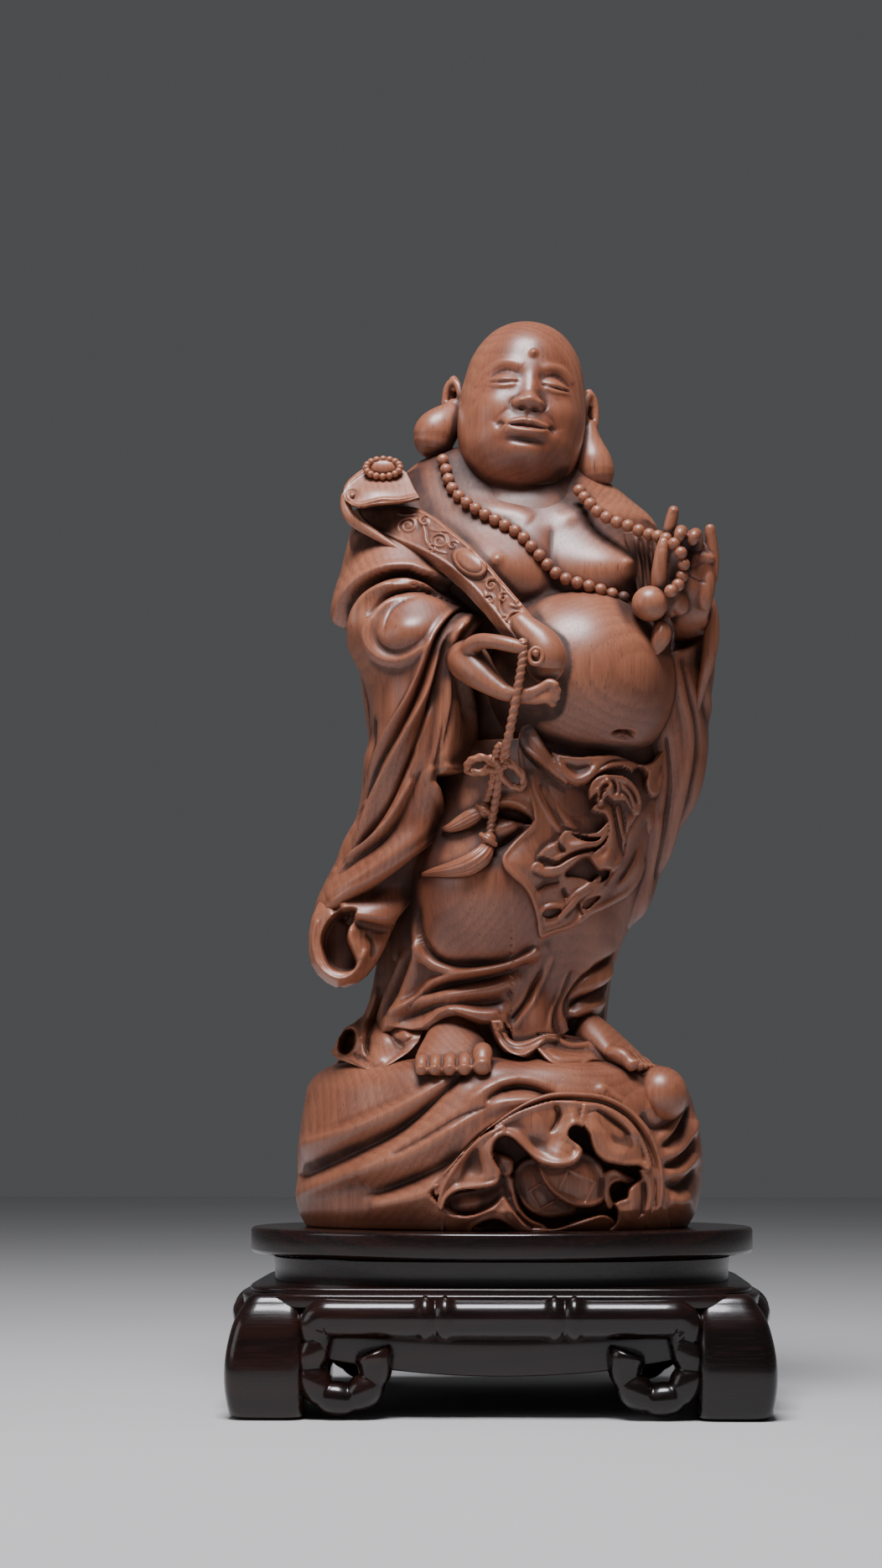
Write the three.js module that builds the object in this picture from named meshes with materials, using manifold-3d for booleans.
// A carved wooden Budai standing on his treasure sack, on a dark hardwood display stand.
// Millimetres, +Z up, the figure faces -Y. The origin is on the ground under the middle of the stand.
import * as THREE from "three";
import Module from "manifold-3d";

const wasm = await Module();
wasm.setup();

// Driving dimensions
const FIGURE_HEIGHT = 400;
const STAND_HEIGHT = 74;
const BOARD_SIDE_MARGIN = 21;
const BOARD_FRONT_MARGIN = 17;
const BOARD_THICKNESS = 11;
const WAIST_HEIGHT = 13;
const WAIST_INSET = 10;
const FRAME_SIDE_INSET = 1.5;
const FRAME_FRONT_REACH = 1.5;
const FRAME_TOP_THICKNESS = 6;
const FRAME_CORNER_RADIUS = 16;
const LEG_WIDTH = 29;
const LEG_BULGE = 5.5;
const LEG_CORNER_RADIUS = 11;
const LEG_TOP_ROUNDING = 6;
const LEG_INSET = 1.5;
const RAIL_DIAMETER = 17;
const RAIL_PROUD = 4;
const JOINT_SPACING = 52;
const JOINT_LENGTH = 8;
const APRON_THICKNESS = 12;
const APRON_SETBACK = 12;
const APRON_DROP = 8;
const SCROLL_RADIUS = 13;
const SCROLL_DIAMETER = 13;
const FOOT_CLEARANCE = 1.5;
const SEAT_GAP = 0.3;

// The carving's shapes are drawn 400 high, and all of the carving keeps its share of the real height.
const share = FIGURE_HEIGHT / 400;

// Joined shapes may drop an edge shorter than this.
const WELD = 0.2;

const WOOD_COLOUR = "#8f5a3c";
const STAND_COLOUR = "#24110f";

// Small helpers for smooth tables and points

const { sin, cos, sqrt, abs, max, min, exp, hypot, PI } = Math;
const radians = THREE.MathUtils.degToRad;
const clamp = THREE.MathUtils.clamp;
const smooth = THREE.MathUtils.smoothstep;
const bump = (x, z, x0, z0, wx, wz) => exp(-(((x - x0) / wx) ** 2) - ((z - z0) / wz) ** 2);

// The smooth value of a table of rows at t from 0 to 1: a Catmull-Rom curve through the rows.
function tableAt(rows, t) {
  const s = clamp(t, 0, 1) * (rows.length - 1);
  const i = min(Math.floor(s), rows.length - 2);
  const f = s - i;
  const row = (k) => rows[clamp(k, 0, rows.length - 1)];
  return row(i).map((_, c) => {
    const [a, b, d, e] = [row(i - 1)[c], row(i)[c], row(i + 1)[c], row(i + 2)[c]];
    const slope = (d - a) / 2;
    const bend = a - 2.5 * b + 2 * d - e / 2;
    const twist = (e - a) / 2 + 1.5 * (b - d);
    return b + f * (slope + f * (bend + f * twist));
  });
}

// The row of a section table at a height: sections are [z, cx, cy, rx, ry] from the bottom up.
function sectionAt(rows, z) {
  let low = 0;
  let high = 1;
  for (let k = 0; k < 24; k++) {
    const middle = (low + high) / 2;
    if (tableAt(rows, middle)[0] < z) low = middle;
    else high = middle;
  }
  return tableAt(rows, low);
}

// A closed body over rings of points, each ring as long as the others, its ends closed by fans.
function skin(rings) {
  const count = rings[0].length;
  const points = rings.flat();
  const faces = [];
  for (let r = 0; r + 1 < rings.length; r++) {
    for (let i = 0; i < count; i++) {
      const a = r * count + i;
      const b = r * count + ((i + 1) % count);
      faces.push(a, b, b + count, a, b + count, a + count);
    }
  }
  const middle = (ring) => ring.reduce((sum, p) => sum.add(p), new THREE.Vector3()).divideScalar(count);
  const bottom = points.push(middle(rings[0])) - 1;
  const top = points.push(middle(rings.at(-1))) - 1;
  const last = (rings.length - 1) * count;
  for (let i = 0; i < count; i++) {
    const next = (i + 1) % count;
    faces.push(bottom, next, i, top, last + i, last + next);
  }
  return solidOf(points, faces);
}

// A manifold solid from points and faces, turned the right way out.
function solidOf(points, faces) {
  const vertProperties = new Float32Array(points.flatMap((p) => p.toArray()));
  let volume = 0;
  for (let i = 0; i < faces.length; i += 3) {
    const [a, b, c] = [points[faces[i]], points[faces[i + 1]], points[faces[i + 2]]];
    volume += a.dot(new THREE.Vector3().crossVectors(b, c));
  }
  const order = volume < 0 ? faces.slice().reverse() : faces;
  const triVerts = new Uint32Array(order);
  return new wasm.Manifold(new wasm.Mesh({ numProp: 3, vertProperties, triVerts, tolerance: WELD }));
}

const vector = (x, y, z) => new THREE.Vector3(x, y, z);
const join = (solids) => solids.reduce((sum, solid) => sum.add(solid));

// A loft of upright sections. The outline starts at the back and is closer spaced at the front.
// relief(x, z, front) is how far the surface stands out there; hem(angle) lowers the bottom edge.
function loft(rows, { around, steps, frontal = 0.3, relief = () => 0, hem = () => 0, place = (p) => p }) {
  const rings = [];
  for (let s = 0; s <= steps; s++) {
    const up = s / steps;
    const ring = [];
    for (let i = 0; i < around; i++) {
      const even = -PI + (2 * PI * i) / around;
      const angle = even - frontal * sin(even);
      const [z0, cx, cy, rx, ry] = tableAt(rows, up);
      const z = z0 + hem(angle) * (1 - up) ** 3;
      const base = vector(cx + rx * sin(angle), cy - ry * cos(angle), z);
      const out = vector(sin(angle) / rx, -cos(angle) / ry, 0).normalize();
      base.addScaledVector(out, relief(base.x, z, cos(angle), angle));
      ring.push(place(base));
    }
    rings.push(ring);
  }
  return skin(rings);
}

// A smooth path through points, as evenly spaced samples.
function smoothPath(points, steps) {
  return Array.from({ length: steps + 1 }, (_, i) => tableAt(points, i / steps));
}

// How far (x, z) is from a path drawn in the front view, and where along it the nearest place is.
function nearest(samples, x, z) {
  let best = { distance: Infinity, at: 0 };
  for (let i = 0; i + 1 < samples.length; i++) {
    const [ax, az] = samples[i];
    const [dx, dz] = [samples[i + 1][0] - ax, samples[i + 1][1] - az];
    const f = clamp(((x - ax) * dx + (z - az) * dz) / (dx * dx + dz * dz), 0, 1);
    const distance = hypot(x - ax - f * dx, z - az - f * dz);
    if (distance < best.distance) best = { distance, at: (i + f) / (samples.length - 1) };
  }
  return best;
}

// A carved fold: a ridge (or a groove, with a negative rise) along a path of the front view.
// It fades towards its ends, and its width is where it has sunk to about a third.
function fold(rise, width, ...points) {
  const samples = smoothPath(points, 10);
  return (x, z) => {
    const { distance, at } = nearest(samples, x, z);
    return rise * sqrt(sin(PI * clamp(at, 0.04, 0.96))) * exp(-((distance / width) ** 2));
  };
}

// A layer of cloth over the surface: inside its closed outline the surface is lifted.
function layer(lift, soft, ...outline) {
  const samples = smoothPath([...outline, outline[0]], outline.length * 3);
  return (x, z) => {
    let inside = false;
    for (let i = 0; i + 1 < samples.length; i++) {
      const [[ax, az], [bx, bz]] = [samples[i], samples[i + 1]];
      if (az > z !== bz > z && x < ((bx - ax) * (z - az)) / (bz - az) + ax) inside = !inside;
    }
    const { distance } = nearest(samples, x, z);
    return lift * smooth(inside ? distance : -distance, -soft, soft);
  };
}

const sum = (parts) => (x, z) => parts.reduce((total, part) => total + part(x, z), 0);

// Relief that fades in where the surface turns to the front, from a share of the turn to another.
const facing = (relief, from, to) => (x, z, front) => smooth(front, from, to) * relief(x, z);

// A tube along a path of rows [x, y, z, radius]. Its section is thinner by `flat` from front to back,
// and its ends are `blunt` of their radius.
function tube(rows, { sides = 5, steps = 4, flat = 1, blunt = 0.6 } = {}) {
  const across = vector(0, 1, 0);
  const rings = Array.from({ length: steps + 1 }, (_, k) => {
    const t = k / steps;
    const [x, y, z, r] = tableAt(rows, t);
    const [a, b] = [tableAt(rows, t - 0.04), tableAt(rows, t + 0.04)];
    const along = vector(b[0] - a[0], b[1] - a[1], b[2] - a[2]).normalize();
    across.addScaledVector(along, -along.dot(across)).normalize();
    const side = new THREE.Vector3().crossVectors(along, across);
    const size = k === 0 || k === steps ? blunt * r : r;
    return Array.from({ length: sides }, (_, i) => {
      const angle = (2 * PI * i) / sides;
      return vector(x, y, z)
        .addScaledVector(side, size * cos(angle))
        .addScaledVector(across, size * flat * sin(angle));
    });
  });
  return skin(rings);
}

// An egg shape: centre, three half sizes, and how it is leant about the Y axis.
function egg([cx, cy, cz], [rx, ry, rz], { around = 12, steps = 8, lean = 0 } = {}) {
  const turn = new THREE.Matrix4().makeRotationY(radians(lean)).setPosition(cx, cy, cz);
  const rings = [];
  for (let s = 0; s <= steps; s++) {
    const up = PI * clamp(s / steps, 0.06, 0.94) - PI / 2;
    rings.push(
      Array.from({ length: around }, (_, i) => {
        const angle = (2 * PI * i) / around;
        return vector(rx * cos(up) * cos(angle), ry * cos(up) * sin(angle), rz * sin(up)).applyMatrix4(turn);
      }),
    );
  }
  return skin(rings);
}

// A thick cloth sheet: point(u, v) is its middle, and it is as thick as given along Y or `out`.
function sheet(point, { across, steps, thick, out = vector(0, 1, 0) }) {
  const rings = [];
  for (let s = 0; s <= steps; s++) {
    const line = Array.from({ length: across + 1 }, (_, i) => point(i / across, s / steps));
    const back = line.map((p) => p.clone().addScaledVector(out, thick)).reverse();
    rings.push([...line, ...back]);
  }
  return skin(rings);
}

// The sack

const SACK = [
  [0, -2, 0, 84, 63],
  [8, -1.5, 0, 87.5, 68],
  [22, -1, 0, 88, 69],
  [40, -1, 0, 87.5, 69],
  [53, -1, 0, 84.5, 67],
  [61, -2, 0, 81, 64.5],
  [67, -2, 0, 75, 60],
  [70.5, -3, 0, 64, 51],
  [72.5, -4, 0, 36, 30],
];
const MOUTH = { x: 22, z: 22, rx: 43, rz: 31 };

const sackFolds = sum([
  (x, z) => -9 * exp(-(hypot((x - MOUTH.x - 3) / 27, (z - MOUTH.z) / 17) ** 4)),
  fold(-5, 5, [-90, 21], [-64, 32], [-42, 42], [-22, 59]),
  fold(4, 8, [-84, 40], [-58, 45], [-33, 53], [-8, 62]),
  fold(5, 7, [-80, 19], [-57, 25], [-33, 37], [-12, 49], [1, 58]),
  fold(-3.5, 4, [-52, 18], [-33, 22], [-16, 28]),
  fold(3.5, 6, [-70, 8], [-40, 13], [-19, 24], [-2, 40]),
  fold(-3, 4, [-4, 51], [8, 58], [22, 56]),
  fold(4, 5, [-20, 12], [-12, 28], [2, 41], [20, 52], [38, 54], [54, 46]),
  fold(3, 5, [72, 60], [80, 50], [84, 36]),
  fold(-3, 4, [66, 30], [78, 38], [87, 50]),
  fold(-3, 4, [66, 20], [78, 27], [88, 38]),
]);
const sackBack = sum([
  fold(5, 9, [-70, 20], [-30, 36], [0, 60]),
  fold(5, 9, [70, 16], [36, 34], [8, 60]),
  fold(-4, 6, [-50, 12], [-20, 24], [10, 30]),
]);

function sackSolid() {
  const body = loft(SACK, {
    around: 28,
    steps: 7,
    relief: (x, z, front) =>
      facing(sackFolds, -0.1, 0.3)(x, z, front) + facing(sackBack, 0, 0.3)(x, z, -front),
  });
  const coins = [
    egg([13, -66, 20], [15, 6, 14], { around: 8, steps: 3, lean: 25 }),
    egg([36, -68, 19], [17, 6, 15], { around: 8, steps: 3, lean: -15 }),
  ];
  const knot = egg([68, -32, 53], [12, 14, 14], { around: 8, steps: 5 });
  return join([body, ...coins, ruffle(), knot]);
}

// The sack's frilled mouth: a sheet from the collar inwards, with a waving free edge.
function ruffle() {
  const waves = 5;
  return sheet(
    (u, v) => {
      const angle = radians(-128 + 256 * v);
      const inward = 0.02 + u * (0.3 + 0.16 * cos(waves * 2 * angle));
      const x = MOUTH.x + MOUTH.rx * (1 - inward) * sin(angle);
      const z = MOUTH.z + MOUTH.rz * (1 - inward) * cos(angle);
      const y = sackFront(x, z) - 1 - 5 * u + 4 * u * sin(waves * 2 * angle);
      return vector(x, y, z);
    },
    { across: 1, steps: 18, thick: 7 },
  );
}

function sackFront(x, z) {
  const [, cx, cy, rx, ry] = sectionAt(SACK, z);
  return cy - ry * sqrt(max(0.05, 1 - ((x - cx) / rx) ** 2)) - sackFolds(x, z);
}

// The skirt, its hem and the legs under it

const SKIRT = [
  [84, -10, 0, 52, 45],
  [92, -9, 0, 50, 43],
  [104, -5, -1, 50, 42],
  [118, -1, -3, 52, 44],
  [134, 3, -5, 54, 47],
  [152, 7, -7, 56, 49],
  [172, 12, -8, 57, 50],
  [192, 16, -8, 57, 50],
  [206, 19, -8, 54, 46],
];
const UNDERSKIRT = [
  [70, -12, 2, 56, 42],
  [76, -12, 2, 53, 42],
  [86, -10, 2, 44, 36],
  [100, -8, 1, 40, 34],
  [112, -6, 1, 38, 32],
];

const apron = layer(4, 1.2, [4, 206], [9, 186], [13, 170], [3, 158], [1, 152], [7, 145], [14, 134], [17, 121],
  [34, 127], [54, 141], [66, 153], [72, 170], [66, 205]);
const skirtFolds = sum([
  apron,
  (x, z) => 10 * bump(x, z, -8, 138, 22, 26),
  (x, z) => 5 * bump(x, z, 36, 120, 14, 30),
  fold(4, 4, [-33, 128], [-29, 119], [-20, 111], [-8, 109], [6, 112], [17, 120]),
  fold(4.5, 4.5, [-42, 86], [-30, 98], [-17, 105], [2, 107], [14, 113], [17, 123]),
  fold(-3.5, 4, [-36, 92], [-20, 100], [4, 102], [18, 108]),
  fold(4, 4, [55, 141], [49, 124], [37, 110], [31, 98], [33, 86]),
  fold(3.5, 3.5, [55, 121], [49, 111], [37, 102], [30, 90]),
  fold(3.5, 4, [23, 121], [17, 107], [9, 93], [6, 80]),
  fold(-3, 4, [29, 122], [20, 103], [15, 86]),
  fold(3, 3.5, [33, 122], [26, 103], [22, 86]),
  fold(3, 3.5, [7, 198], [13, 180], [20, 166]),
  fold(2.5, 3.5, [16, 196], [21, 176], [30, 166]),
  fold(3.5, 3.5, [50, 180], [49, 162], [42, 145], [33, 132]),
  fold(3, 3.5, [64, 180], [56, 160], [45, 142], [34, 129]),
  fold(3, 5, [-48, 86], [-37, 96], [-30, 106], [-34, 130]),
]);
const skirtBack = sum(
  [-44, -22, 0, 22, 42].map((x, i) =>
    fold(4, 6, [x * 0.5, 200], [x * 0.8, 160], [x + (i % 2) * 4, 120], [x, 82]),
  ),
);
// The hem waves, and drops between the feet.
const hemWave = (angle) =>
  4 * cos(5 * angle + 0.9) + 2.5 * sin(9 * angle) - 7 * bump(angle, 0, 0.55, 0, 0.3, 1);
const hemFlare = (z, angle) => exp(-(z - 78) / 12) * (3 + 4 * cos(9 * angle + 0.5) + 2 * sin(14 * angle));
// The under-robe spreads in waves where it lies on the sack, except over the right foot.
const spread = (z, angle) =>
  exp(-(z - 70) / 9) * (2 + 4 * cos(8 * angle + 1.1)) * (1 - 0.9 * bump(angle, 0, -0.35, 0, 0.5, 1));

function skirtSolid() {
  const skirt = loft(SKIRT, {
    around: 28,
    steps: 8,
    hem: hemWave,
    relief: (x, z, front, angle) =>
      facing(skirtFolds, -0.1, 0.3)(x, z, front) +
      facing(skirtBack, 0, 0.3)(x, z, -front) +
      hemFlare(z, angle),
  });
  const under = loft(UNDERSKIRT, {
    around: 20,
    steps: 1,
    relief: (x, z, front, angle) => spread(z, angle),
  });
  return skirt.add(under);
}

// A bare foot: a wedge from the ankle to the toes, lying on the sack, and five toes.
function footSolid({ heel, toe, width, height }) {
  const along = vector(toe[0] - heel[0], toe[1] - heel[1], 0).normalize();
  const side = vector(-along.y, along.x, 0);
  const wedge = [
    [-0.15, 0.2, 0.9],
    [0, 0.36, 1],
    [0.35, 0.4, 0.85],
    [0.7, 0.47, 0.55],
    [1, 0.46, 0.3],
  ];
  const rings = wedge.map(([t, wide, high]) =>
    Array.from({ length: 10 }, (_, i) => {
      const angle = (2 * PI * i) / 10;
      const low = heel[2] + (toe[2] - heel[2]) * t;
      return vector(
        heel[0] + (toe[0] - heel[0]) * t,
        heel[1] + (toe[1] - heel[1]) * t,
        low + height * high * (0.5 + 0.5 * sin(angle)),
      ).addScaledVector(side, width * wide * cos(angle));
    }),
  );
  const toes = [0, 1, 2, 3, 4].map((k) => {
    const size = 0.82 + 0.05 * k + (k === 4 ? 0.2 : 0);
    const at = vector(toe[0], toe[1], toe[2] + 3.6)
      .addScaledVector(side, (k - 2.1) * width * 0.2)
      .addScaledVector(along, 1.5 - 0.5 * (3 - k) ** 2 * 0.5);
    const r = width * 0.125 * size;
    return egg([at.x, at.y, at.z], [r, r * 1.25, r * 1.1], { around: 5, steps: 2 });
  });
  return join([skin(rings), ...toes]);
}

// The bare body: chest, belly, neck

const TORSO = [
  [192, 22, -4, 46, 40],
  [215, 21, -5, 52, 44],
  [240, 17, -6, 56, 44],
  [262, 14, -7, 58, 43],
  [280, 13, -8, 61, 42],
  [297, 11, -7, 62, 39],
  [310, 9, -5, 60, 34],
  [320, 8, -3, 53, 29],
  [328, 8, -3, 42, 25],
  [335, 8, -5, 28, 20],
];
const BELLY = { centre: [34, -26, 234], size: [43, 48, 42] };
const torsoRelief = sum([
  (x, z) => 11 * bump(x, z, -2, 280, 18, 15),
  (x, z) => 11 * bump(x, z, 51, 280, 18, 15),
  (x, z) => -4 * bump(x, z, 23, 280, 6, 16),
  (x, z) => 3.5 * bump(x, z, -1, 281, 2.4, 2.4),
  (x, z) => 3.5 * bump(x, z, 51, 281, 2.4, 2.4),
]);

const torsoSolid = () =>
  loft(TORSO, {
    around: 18,
    steps: 7,
    relief: facing(torsoRelief, 0, 0.4),
  });

// The robe: its back, the two sleeves

const ROBE_BACK = [
  [96, -6, 6, 48, 42],
  [120, 0, 6, 53, 44],
  [150, 6, 6, 58, 46],
  [185, 9, 8, 64, 46],
  [215, 9, 9, 68, 46],
  [245, 7, 10, 70, 45],
  [270, 4, 10, 70, 43],
  [295, 3, 9, 68, 38],
  [312, 3, 7, 63, 31],
  [324, 3, 5, 53, 24],
  [331, 4, 4, 36, 17],
];
const robeBackFolds = sum([
  ...[-46, -24, 0, 26, 48].map((x, i) =>
    fold(4.5, 6, [x * 0.25, 312], [x * 0.7 + (i % 2) * 5, 250], [x, 180], [x * 1.05, 110]),
  ),
  fold(-4, 5, [-50, 270], [-20, 252], [14, 250], [48, 268]),
  fold(4, 5, [-54, 240], [-20, 220], [14, 218], [52, 238]),
]);

const SLEEVE_RIGHT = [
  [100.5, -68.5, -30, 6, 4],
  [104, -69, -30, 10.5, 9],
  [111, -69.5, -29, 12.5, 13],
  [122, -68, -27, 14, 18],
  [136, -61, -26, 22, 22],
  [154, -51.5, -26, 27, 27],
  [176, -45, -26, 22.5, 33],
  [196, -38.5, -27, 21, 36],
  [216, -36, -29, 21.5, 38],
  [236, -34.5, -30, 26, 39],
  [254, -36, -29, 32, 38],
  [270, -39.5, -24, 29.5, 34],
  [286, -41.5, -17, 24, 29],
  [302, -42, -10, 20.5, 24],
  [316, -42, -5, 17, 18],
  [326, -41, -2, 10, 11],
];
const sleeveFolds = sum([
  layer(4.5, 1.2, [-90, 330], [-76, 257], [-69, 266], [-62, 276], [-48, 283], [-35, 286], [-22, 284],
    [-10, 300], [-40, 340]),
  fold(-4.5, 3.5, [-20, 278], [-34, 278], [-46, 275], [-55, 269], [-61, 259]),
  fold(-4, 3.5, [-18, 271], [-30, 272], [-42, 268], [-50, 262], [-54, 255]),
  (x, z) => 5 * bump(x, z, -44, 252, 10, 11),
  fold(-4, 4, [-26, 262], [-30, 250], [-40, 238], [-50, 240], [-58, 250]),
  fold(4.5, 3.2, [-19, 262], [-32, 238], [-41, 213], [-50, 188], [-60, 163], [-70, 144]),
  fold(4.5, 3.2, [-16, 260], [-25, 234], [-30, 209], [-37, 184], [-49, 160], [-61, 139]),
  fold(4, 3, [-14.5, 258], [-21, 237], [-24, 215], [-26, 190]),
  fold(4, 4, [-45, 236], [-52, 211], [-57, 189], [-66, 164], [-75, 142]),
  fold(-4, 3, [-27, 236], [-35, 210], [-43, 186], [-54, 162], [-64, 143]),
  fold(-4, 3, [-22, 228], [-26, 205], [-31, 186], [-42, 160]),
  fold(4, 4, [-24, 186], [-27, 166], [-40, 150], [-56, 138], [-72, 127]),
]);

const SLEEVE_LEFT = [
  [126, 44, 4, 10, 12],
  [138, 48, 3, 15, 18],
  [152, 51, 2, 18, 22],
  [170, 57, 0, 22, 26],
  [190, 63, -2, 24, 28],
  [208, 66, -4, 24, 29],
  [222, 69, -6, 22, 29],
  [238, 73, -8, 21.5, 28],
  [252, 76, -11, 19, 25],
  [262, 78, -13, 15, 20],
  [267, 79, -14, 10, 13],
];
const leftSleeveFolds = sum([
  fold(4, 3.2, [66, 262], [73, 244], [78, 226], [77, 207], [74, 189], [72, 167], [65, 145]),
  fold(3.5, 4, [84, 262], [87, 233], [84, 206], [80, 184], [70, 158]),
  fold(-3, 3, [75, 250], [82, 228], [80, 200], [76, 176]),
]);

const sleeveSolids = () => [
  loft(ROBE_BACK, {
    around: 16,
    steps: 6,
    frontal: -0.3,
    relief: (x, z, front) => facing(robeBackFolds, -0.1, 0.4)(x, z, -front),
  }),
  loft(SLEEVE_RIGHT, {
    around: 20,
    steps: 12,
    relief: facing(sleeveFolds, -0.4, 0.2),
  }),
  loft(SLEEVE_LEFT, {
    around: 12,
    steps: 6,
    relief: facing(leftSleeveFolds, -0.4, 0.2),
  }),
];

// The head, which is turned, leant and thrown back a little

const HEAD = { at: vector(10.5, -15, 359.5), turn: 6, lean: 6, back: 7 };
const headPlace = new THREE.Matrix4()
  .makeRotationFromEuler(new THREE.Euler(radians(-HEAD.back), radians(HEAD.lean), radians(HEAD.turn), "ZYX"))
  .setPosition(HEAD.at);
const onHead = (p) => p.applyMatrix4(headPlace);
const HEAD_SECTIONS = [
  [-41, 0, -7, 8, 8],
  [-37, 0, -6, 17, 17],
  [-29, 0, -4, 24, 24.5],
  [-17, 0, -2, 28.2, 29],
  [-3, 0, 0, 28.6, 31],
  [10, 0, 1, 27.6, 32],
  [23, 0, 2, 25, 29.5],
  [33, 0, 2, 19, 23],
  [38.5, 0, 2, 11.5, 14],
  [40.6, 0, 2, 5, 6],
];
const faceRelief = sum([
  (x, z) => 6.5 * bump(x, z, 0, -5.5, 4, 4.5),
  (x, z) => 4 * bump(x, z, 0, 2, 2.6, 8),
  (x, z) => 1.5 * (bump(x, z, -4.6, -6.5, 2.4, 2.4) + bump(x, z, 4.6, -6.5, 2.4, 2.4)),
  (x, z) => -2.6 * (bump(x, z, -10, 4.5, 6, 4) + bump(x, z, 10, 4.5, 6, 4)),
  (x, z) => 1.6 * (bump(x, z, -10.5, 2.8, 4.6, 2.2) + bump(x, z, 10.5, 2.8, 4.6, 2.2)),
  (x, z) => 2 * (bump(x, z, -10, 11, 7, 2.6) + bump(x, z, 10, 11, 7, 2.6)),
  (x, z) => 2 * (bump(x, z, -15, -8, 7, 8) + bump(x, z, 15, -8, 7, 8)),
  (x, z) => 2.6 * bump(x, z, 0, -15.5, 7, 2.2),
  (x, z) => 2.4 * bump(x, z, 0, -20.5, 5.5, 2.2),
  (x, z) => -1.6 * bump(x, z, 0, -18, 8.5, 1.3),
  (x, z) => 3 * bump(x, z, 0, -29, 8, 5),
  (x, z) => 2 * bump(x, z, 0, 18.5, 1.8, 1.8),
]);

function headSolids() {
  const skull = loft(HEAD_SECTIONS, {
    around: 18,
    steps: 11,
    frontal: 0.5,
    relief: facing(faceRelief, 0.1, 0.5),
    place: onHead,
  });
  const ears = [
    [
      [-18, -6, 378, 3],
      [-19.5, -7, 369, 4.6],
      [-21, -9, 359, 5.8],
      [-28, -11, 351, 9.4],
      [-32, -11, 346, 8.5],
    ],
    [
      [38.5, -4, 371, 3],
      [39.5, -5, 361, 4.4],
      [38.5, -8, 350, 5],
      [39.5, -11, 338, 8],
      [40.5, -11, 331, 7.5],
    ],
  ].map((rows) => tube(rows, { sides: 6, steps: 5, flat: 0.9 }));
  const neck = [
    [298, 9, -10, 36, 30],
    [312, 10, -13, 29, 28],
    [324, 11, -15, 25.5, 25],
    [340, 11, -15, 23, 23],
  ];
  const doubleChin = egg([12, -21, 323], [24, 22, 8], { around: 12, steps: 3 });
  return [skull, ...ears, loft(neck, { around: 12, steps: 2 }), doubleChin];
}

// The hands

function hand(palm, fingers) {
  return join([...palm, ...fingers.map((rows) => tube(rows, { sides: 5, steps: 3 }))]);
}

const raisedHand = () =>
  hand(
    [
      tube(
        [
          [74, -10, 234, 11],
          [81, -28, 250, 10],
          [83, -40, 261, 9],
          [83, -46, 270, 12],
          [82.5, -48, 279, 12.5],
          [82.5, -49, 285, 9],
        ],
        { sides: 6, steps: 5, flat: 0.7, blunt: 0.9 },
      ),
    ],
    [
      [[75.5, -49, 281, 3.8], [75, -52, 293, 3.4], [75, -54, 306, 3]],
      [[80.5, -49, 283, 3.8], [81, -55, 295, 3.6], [80.5, -60, 292, 3.4], [80, -59, 285, 3]],
      [[86, -48, 282, 3.7], [87.5, -54, 294, 3.5], [87, -59, 291, 3.3], [86, -58, 284, 3]],
      [[90.5, -46, 279, 3.4], [91.5, -49, 289, 3], [91.2, -51, 298, 2.6]],
      [[76, -47, 268, 4.8], [70.5, -53, 278, 4.2], [70, -56, 287, 3.5], [71.5, -57, 293, 3]],
    ],
  );

const holdingHand = () =>
  hand(
    [
      tube(
        [
          [-46, -18, 243, 11],
          [-30, -40, 240, 10],
          [-16, -62, 238, 8.5],
          [-8, -75, 235, 9],
          [-3, -79, 233, 7],
        ],
        { sides: 6, steps: 3, blunt: 0.9 },
      ),
    ],
    [
      [[-12, -74, 240, 4.5], [-7, -81, 244, 4], [2, -85, 241.5, 3.6], [11, -86, 239, 3.2]],
      ...[0, 1, 2, 3].map((k) =>
        [
          [-9, -76, 230, 4.4],
          [-5, -82, 224, 4],
          [6, -85, 219, 3.6],
          [15, -85, 220, 3.3],
          [24, -83, 223.5, 3],
        ].map(([x, y, z, r]) => [x - 1.5 * k, y + 5.2 * k, z - 1.2 * k, r]),
      ),
    ],
  );

// The sceptre (ruyi) across the chest, its cloud-shaped head on the shoulder

const SCEPTRE = [
  [-61, -31, 302],
  [-56, -34, 299.5],
  [-46, -41, 296.5],
  [-35, -48, 291.5],
  [-26, -54, 286.5],
  [-17.5, -60, 280],
  [-11, -66, 272],
  [-5, -71, 265],
  [1, -77, 256.5],
  [7, -81, 249],
  [12, -83, 242],
];

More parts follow.
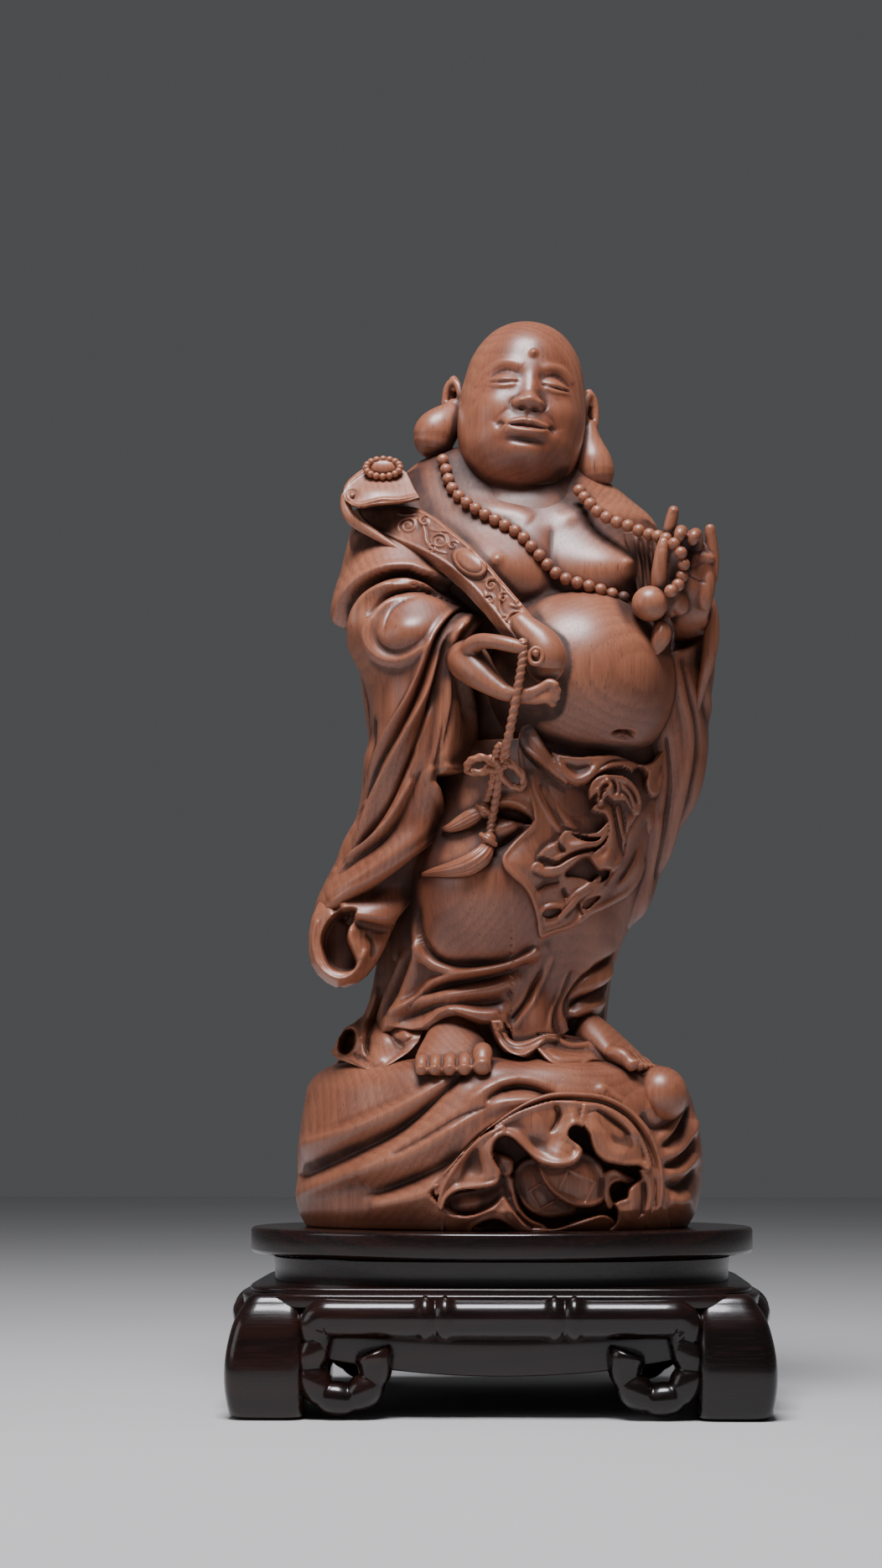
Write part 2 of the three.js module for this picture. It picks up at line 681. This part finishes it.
function sceptreSolids() {
  const faceOut = vector(-0.2, -0.93, 0.3).normalize();
  const rings = smoothPath(SCEPTRE, 8).map((_, i, all) => {
    const [a, b] = [all[max(0, i - 1)], all[min(all.length - 1, i + 1)]];
    const along = vector(b[0] - a[0], b[1] - a[1], b[2] - a[2]).normalize();
    const wide = new THREE.Vector3().crossVectors(along, faceOut).normalize();
    const deep = new THREE.Vector3().crossVectors(wide, along).normalize();
    const [x, y, z] = all[i];
    const half = 9 - 1.4 * sin((PI * i) / (all.length - 1));
    return [[-1, -1], [1, -1], [1, 1], [-1, 1]].map(([w, d]) =>
      vector(x, y, z).addScaledVector(wide, w * half).addScaledVector(deep, d * 3.6),
    );
  });
  const knobPath = [[8, -81, 249, 5], [14, -83, 242, 8.4], [19, -83, 234, 9], [21, -82, 227, 5]];
  const knob = tube(knobPath, { sides: 6, steps: 4 });
  const boss = egg([-13, -66, 282], [6, 3.5, 8.5], { around: 6, steps: 3, lean: -42 });
  const head = sheet(
    (u, v) => {
      const turn = PI * (v - 0.5);
      const lobe = 1 + 0.12 * cos(6 * turn);
      const x = (u - 0.5) * 2 * 16.5 * cos(turn) * lobe;
      const y = 13 * sin(turn) * lobe;
      return vector(-50 + x, -28 + y * 0.9, 318 - y * 0.55 - 0.02 * x * x + 0.04 * x);
    },
    { across: 4, steps: 6, thick: 8, out: vector(0.1, -0.35, 0.93).normalize() },
  );
  const scroll = egg([-64, -34, 312], [4.5, 8, 5], { around: 6, steps: 3 });
  const flower = egg([-50, -33, 325], [8.5, 7.5, 4], { around: 8, steps: 3 });
  return [skin(rings), knob, boss, head, scroll, flower];
}

// The bead string, the cord and its tassels

const BEAD_RADIUS = 2.7;
const BEAD_LIFT = 1.4;
const BEADS_CHEST = [
  [-23, 332],
  [-22, 323],
  [-17, 315.5],
  [-6, 304.5],
  [8, 294],
  [18, 282.5],
  [27, 275],
  [41, 270],
  [55, 266],
  [64, 262],
];
const BEADS_HAND = [
  [36, 317],
  [41, 309],
  [51, 302],
  [61, 296.5],
  [70, 293],
  [76, 290],
];

// A string of beads along a path of the front view, lying on what is behind it.
function beadString(path, front) {
  const laid = smoothPath(path, path.length);
  const core = laid.map(([x, z]) => [x, front(x, z, -40) - BEAD_LIFT, z, BEAD_RADIUS]);
  return tube(core, { sides: 4, steps: 2 * path.length });
}

const beadSolids = (front) => [
  beadString(BEADS_CHEST, front),
  beadString(BEADS_HAND, front),
  egg([64.5, front(64.5, 260.5) - 4, 260.5], [7.6, 7.6, 7.4], { around: 6, steps: 3 }),
  egg([66.5, front(66.5, 247) - 2.4, 247], [4.4, 4.4, 6.8], { around: 5, steps: 3, lean: 20 }),
];

// Finds how far forward a solid reaches at a place of the front view: the lowest y there.
function frontOf(solid) {
  const { vertProperties: at, triVerts: faces } = solid.getMesh();
  return (x, z, otherwise = 0) => {
    let front = Infinity;
    for (let i = 0; i < faces.length; i += 3) {
      const [a, b, c] = [faces[i] * 3, faces[i + 1] * 3, faces[i + 2] * 3];
      const [ax, az, bx, bz, cx, cz] = [at[a], at[a + 2], at[b], at[b + 2], at[c], at[c + 2]];
      const area = (bx - ax) * (cz - az) - (bz - az) * (cx - ax);
      if (abs(area) < 1e-9) continue;
      const u = ((x - ax) * (cz - az) - (z - az) * (cx - ax)) / area;
      const v = ((bx - ax) * (z - az) - (bz - az) * (x - ax)) / area;
      if (u < 0 || v < 0 || u + v > 1) continue;
      front = min(front, at[a + 1] + u * (at[b + 1] - at[a + 1]) + v * (at[c + 1] - at[a + 1]));
    }
    return front === Infinity ? otherwise : front;
  };
}

// A manifold solid from one of three.js's closed geometries.
function solidOfGeometry(geometry) {
  const position = geometry.getAttribute("position");
  const seen = new Map();
  const points = [];
  const faces = [];
  for (let i = 0; i < position.count; i++) {
    const p = new THREE.Vector3().fromBufferAttribute(position, i);
    const key = p.toArray().map((c) => Math.round(c * 1e4)).join();
    if (!seen.has(key)) seen.set(key, points.push(p) - 1);
    faces.push(seen.get(key));
  }
  const index = geometry.index ? Array.from(geometry.index.array, (i) => faces[i]) : faces;
  const kept = [];
  for (let i = 0; i < index.length; i += 3) {
    const [a, b, c] = index.slice(i, i + 3);
    if (a !== b && b !== c && a !== c) kept.push(a, b, c);
  }
  return solidOf(points, kept);
}

// A strand lying on what is behind it: rows [x, z, radius] of the front view.
function strand(front, rows, { sides = 4, steps = 3, sink = 0.3 } = {}) {
  const laid = smoothPath(rows, steps).map(([x, z, r]) => [x, front(x, z) - r + sink * r, z, r]);
  return tube(laid, { sides, steps });
}

const cordSolids = (front) => [
  strand(front, [[11, 236, 2], [6, 216, 2], [1.5, 201, 2], [-1, 190, 2]], { sink: 0.2 }),
  strand(front, [[-12, 192, 2.6], [-3, 191, 4], [7, 187, 2.6]]),
  strand(front, [[-1.5, 189, 1.8], [-4, 181, 1.8], [-6, 172, 2.2], [-4, 160, 1.8]], { sink: 0.1 }),
  strand(front, [[-5, 172, 3], [-13, 168, 3.4], [-19, 165.5, 2.4], [-25, 163.5, 1.4]]),
  strand(front, [[-4, 160, 2.8], [-8, 153, 4], [-16, 149, 3.4], [-24, 147, 2.4], [-31, 146, 1.4]]),
];

// The band of cloth rolled over under the belly, its knot, and the frills of the apron

function waistSolids(front) {
  const upper = [[4, 208], [16, 202], [26, 197], [38, 197], [49, 199], [58, 196], [67, 196], [75, 206]];
  const lower = [[1, 200], [14, 192], [25, 186], [40, 190], [49, 195], [58, 191], [66, 184], [75, 191]];
  const band = sheet(
    (u, v) => {
      const [[ax, az], [bx, bz]] = [tableAt(upper, v), tableAt(lower, v)];
      const x = ax + (bx - ax) * u;
      const z = az + (bz - az) * u;
      return vector(x, front(x, 203 - 8 * u) - 3 - 4 * sin(PI * (0.2 + 0.7 * u)), z);
    },
    { across: 1, steps: 8, thick: 16 },
  );
  const bows = [
    [[40, 181, 2], [42, 189, 3.4], [50, 187, 5], [58, 188, 3.4], [62, 180, 2]],
    [[51, 186, 2.8], [52, 177, 2.6], [52, 166, 2]],
  ].map((rows) => strand((x, z) => front(x, z) - 3, rows, { sides: 4, sink: 0 }));
  const frills = [[18, 164, 26], [13, 152, 31], [18, 141, 22]].map(([x0, z0, length]) =>
    strand(
      front,
      [0, 0.25, 0.5, 0.75, 1].map((t) => [
        x0 + length * t,
        z0 + 5 * t + 2 * sin(9 * t),
        1.4 + 2.4 * sin(PI * t),
      ]),
      { sides: 4, steps: 4 },
    ),
  );
  return [band, ...bows, ...frills];
}

// All of the figure is carved from one block, so it is one solid.
function figure() {
  const { centre, size } = BELLY;
  const body = join([
    sackSolid(),
    skirtSolid(),
    footSolid({ heel: [-20, -32, 69], toe: [-20, -60, 65], width: 32, height: 26 }),
    footSolid({ heel: [34, -26, 69], toe: [54, -35, 67], width: 24, height: 24 }),
    torsoSolid(),
    egg(centre, size, { around: 16, steps: 8 }),
    ...sleeveSolids(),
    ...headSolids(),
    raisedHand(),
    holdingHand(),
    ...sceptreSolids(),
  ]);
  const front = frontOf(body);
  const dressed = join([body, ...beadSolids(front), ...cordSolids(front), ...waistSolids(front)]);
  // Specks where two surfaces only graze each other are left off.
  return dressed.decompose().sort((a, b) => b.volume() - a.volume())[0];
}

function meshOf(name, solid, colour, { roughness }) {
  const { vertProperties, triVerts } = solid.getMesh();
  const geometry = new THREE.BufferGeometry();
  geometry.setAttribute("position", new THREE.BufferAttribute(vertProperties, 3));
  geometry.setIndex(new THREE.BufferAttribute(triVerts, 1));
  geometry.computeVertexNormals();
  const material = new THREE.MeshStandardMaterial({ color: colour, roughness, metalness: 0 });
  const mesh = new THREE.Mesh(geometry, material);
  mesh.name = name;
  return mesh;
}

// The stand: an oval board on a waisted frame with jointed rails and scrolled corner legs.
// The board is as large as the sack and its margins, and the frame follows the board.

const widest = (column) => 2 * max(...SACK.map((row) => row[column]));
const BOARD_LENGTH = share * widest(3) + 2 * BOARD_SIDE_MARGIN;
const BOARD_DEPTH = share * widest(4) + 2 * BOARD_FRONT_MARGIN;
const FRAME_LENGTH = BOARD_LENGTH - 2 * FRAME_SIDE_INSET;
const FRAME_DEPTH = BOARD_DEPTH + 2 * FRAME_FRONT_REACH;
const BASE_TOP = STAND_HEIGHT - BOARD_THICKNESS - SEAT_GAP;
const FRAME_TOP = BASE_TOP - WAIST_HEIGHT;

function ovalBoard() {
  const edge = [[0.97, 0], [0.998, 0.2], [0.998, 0.7], [0.96, 1]];
  const rings = edge.map(([reach, up]) =>
    Array.from({ length: 32 }, (_, i) => {
      const angle = (2 * PI * i) / 32;
      const inset = (1 - reach) * BOARD_DEPTH;
      return vector(
        (BOARD_LENGTH / 2 - inset) * cos(angle),
        (BOARD_DEPTH / 2 - inset) * sin(angle),
        up * BOARD_THICKNESS,
      );
    }),
  );
  return skin(rings);
}

// A rounded rectangle's outline, as an extrusion from one height to another.
function slab(length, depth, corner, low, high) {
  const shape = new THREE.Shape();
  const [x, y] = [length / 2 - corner, depth / 2 - corner];
  shape.absarc(x, y, corner, 0, PI / 2);
  shape.absarc(-x, y, corner, PI / 2, PI);
  shape.absarc(-x, -y, corner, PI, 1.5 * PI);
  shape.absarc(x, -y, corner, 1.5 * PI, 2 * PI);
  const settings = { depth: high - low, bevelEnabled: false, curveSegments: 5 };
  const geometry = new THREE.ExtrudeGeometry(shape, settings);
  return solidOfGeometry(geometry.translate(0, 0, low));
}

// One corner leg: a block with a round shoulder, swelling outwards, taken in a little at the foot.
function leg(sx, sy) {
  const inner = [FRAME_LENGTH / 2 - LEG_WIDTH, FRAME_DEPTH / 2 - LEG_WIDTH];
  const rings = [0, 0.2, 0.8, 0.94, 1].map((t) => {
    const bulge = LEG_BULGE * sin(PI * min(1, 0.18 + 0.9 * t));
    const swell = bulge - LEG_TOP_ROUNDING * smooth(t, 0.86, 1.02) - LEG_INSET;
    const out = [FRAME_LENGTH / 2 + swell, FRAME_DEPTH / 2 + swell];
    const corner = [0, 45, 90].map((turn) => [
      out[0] - LEG_CORNER_RADIUS * (1 - cos(radians(turn))),
      out[1] - LEG_CORNER_RADIUS * (1 - sin(radians(turn))),
    ]);
    const ring = [...corner, [inner[0], out[1]], inner, [out[0], inner[1]]];
    return ring.map(([x, y]) => vector(sx * x, sy * y, t * FRAME_TOP));
  });
  return skin(rings);
}

// A rail carved like a jointed cane. It turns down inside the legs and curls inwards at the foot.
// half is where the legs' inner faces are, and face is how far out the rail's middle lies.
function cane(half, face, sideways) {
  const middle = FRAME_TOP - 1 - RAIL_DIAMETER / 2;
  const [r, curl] = [RAIL_DIAMETER / 2, SCROLL_DIAMETER / 2];
  const scroll = [half - SCROLL_RADIUS - curl / 3, SCROLL_RADIUS + curl + FOOT_CLEARANCE];
  // From the tip, which flares, round the foot and up the leg.
  const curled = [0.8, 1.1, 1, 1, 1, 1].map((size, i, all) => {
    const angle = radians(-200 + (250 * i) / (all.length - 1));
    const at = [SCROLL_RADIUS * cos(angle), SCROLL_RADIUS * sin(angle)];
    return [scroll[0] + at[0], scroll[1] + at[1], curl * size];
  });
  const side = [
    ...curled,
    [half - r, middle, r],
    [JOINT_SPACING / 2 + JOINT_LENGTH / 2, middle, 0.95 * r],
    [JOINT_SPACING / 2, middle, 1.12 * r],
    [JOINT_SPACING / 2 - JOINT_LENGTH / 2, middle, 0.95 * r],
  ];
  const rows = [...side.map(([u, z, size]) => [-u, z, size]), ...side.reverse()];
  const rings = rows.map(([u, z, size], i) => {
    const [[ua, za], [ub, zb]] = [rows[max(0, i - 1)], rows[min(rows.length - 1, i + 1)]];
    const along = vector(ub - ua, 0, zb - za).normalize();
    const up = vector(-along.z, 0, along.x);
    return Array.from({ length: 6 }, (_, k) => {
      const angle = (2 * PI * (k + 0.5)) / 6;
      const p = vector(u, size * sin(angle), z).addScaledVector(up, size * cos(angle));
      return sideways ? vector(face + p.y, p.x, p.z) : vector(p.x, face + p.y, p.z);
    });
  });
  return skin(rings);
}

// The plain board behind a rail: its lower edge is a shallow drop between the scrolls.
function apronBoard(half, face, sideways) {
  const shape = new THREE.Shape();
  const ends = FRAME_TOP / 2;
  shape.moveTo(-half, FRAME_TOP);
  shape.lineTo(-half, ends);
  shape.quadraticCurveTo(0, ends - 2 * APRON_DROP, half, ends);
  shape.lineTo(half, FRAME_TOP);
  const settings = { depth: APRON_THICKNESS, bevelEnabled: false, curveSegments: 6 };
  const geometry = new THREE.ExtrudeGeometry(shape, settings);
  geometry.translate(0, 0, -APRON_THICKNESS / 2).rotateX(PI / 2).translate(0, face, 0);
  if (sideways) geometry.rotateZ(PI / 2);
  return solidOfGeometry(geometry);
}

function standBase() {
  const innerX = FRAME_LENGTH / 2 - LEG_WIDTH;
  const innerY = FRAME_DEPTH / 2 - LEG_WIDTH;
  const waistDepth = BOARD_DEPTH - 2 * WAIST_INSET;
  const parts = [
    slab(BOARD_LENGTH - 2 * WAIST_INSET, waistDepth, 0.4 * waistDepth, FRAME_TOP - 1, BASE_TOP),
    slab(FRAME_LENGTH, FRAME_DEPTH, FRAME_CORNER_RADIUS, FRAME_TOP - FRAME_TOP_THICKNESS, FRAME_TOP),
  ];
  for (const side of [-1, 1]) {
    parts.push(leg(side, -1), leg(side, 1));
    parts.push(cane(innerX, side * (FRAME_DEPTH / 2 - RAIL_DIAMETER / 2 + RAIL_PROUD), false));
    parts.push(cane(innerY, side * (FRAME_LENGTH / 2 - RAIL_DIAMETER / 2 + RAIL_PROUD), true));
    parts.push(apronBoard(innerX + 1, side * (FRAME_DEPTH / 2 - APRON_SETBACK), false));
    parts.push(apronBoard(innerY + 1, side * (FRAME_LENGTH / 2 - APRON_SETBACK), true));
  }
  return join(parts);
}

const part = new THREE.Group();

const carving = meshOf("budai_figure", figure(), WOOD_COLOUR, { roughness: 0.45 });
carving.scale.setScalar(share);
carving.position.z = STAND_HEIGHT + SEAT_GAP;

const board = meshOf("stand_top_board", ovalBoard(), STAND_COLOUR, { roughness: 0.3 });
board.position.z = STAND_HEIGHT - BOARD_THICKNESS;

part.add(carving, board, meshOf("stand_base", standBase(), STAND_COLOUR, { roughness: 0.3 }));

export default part;
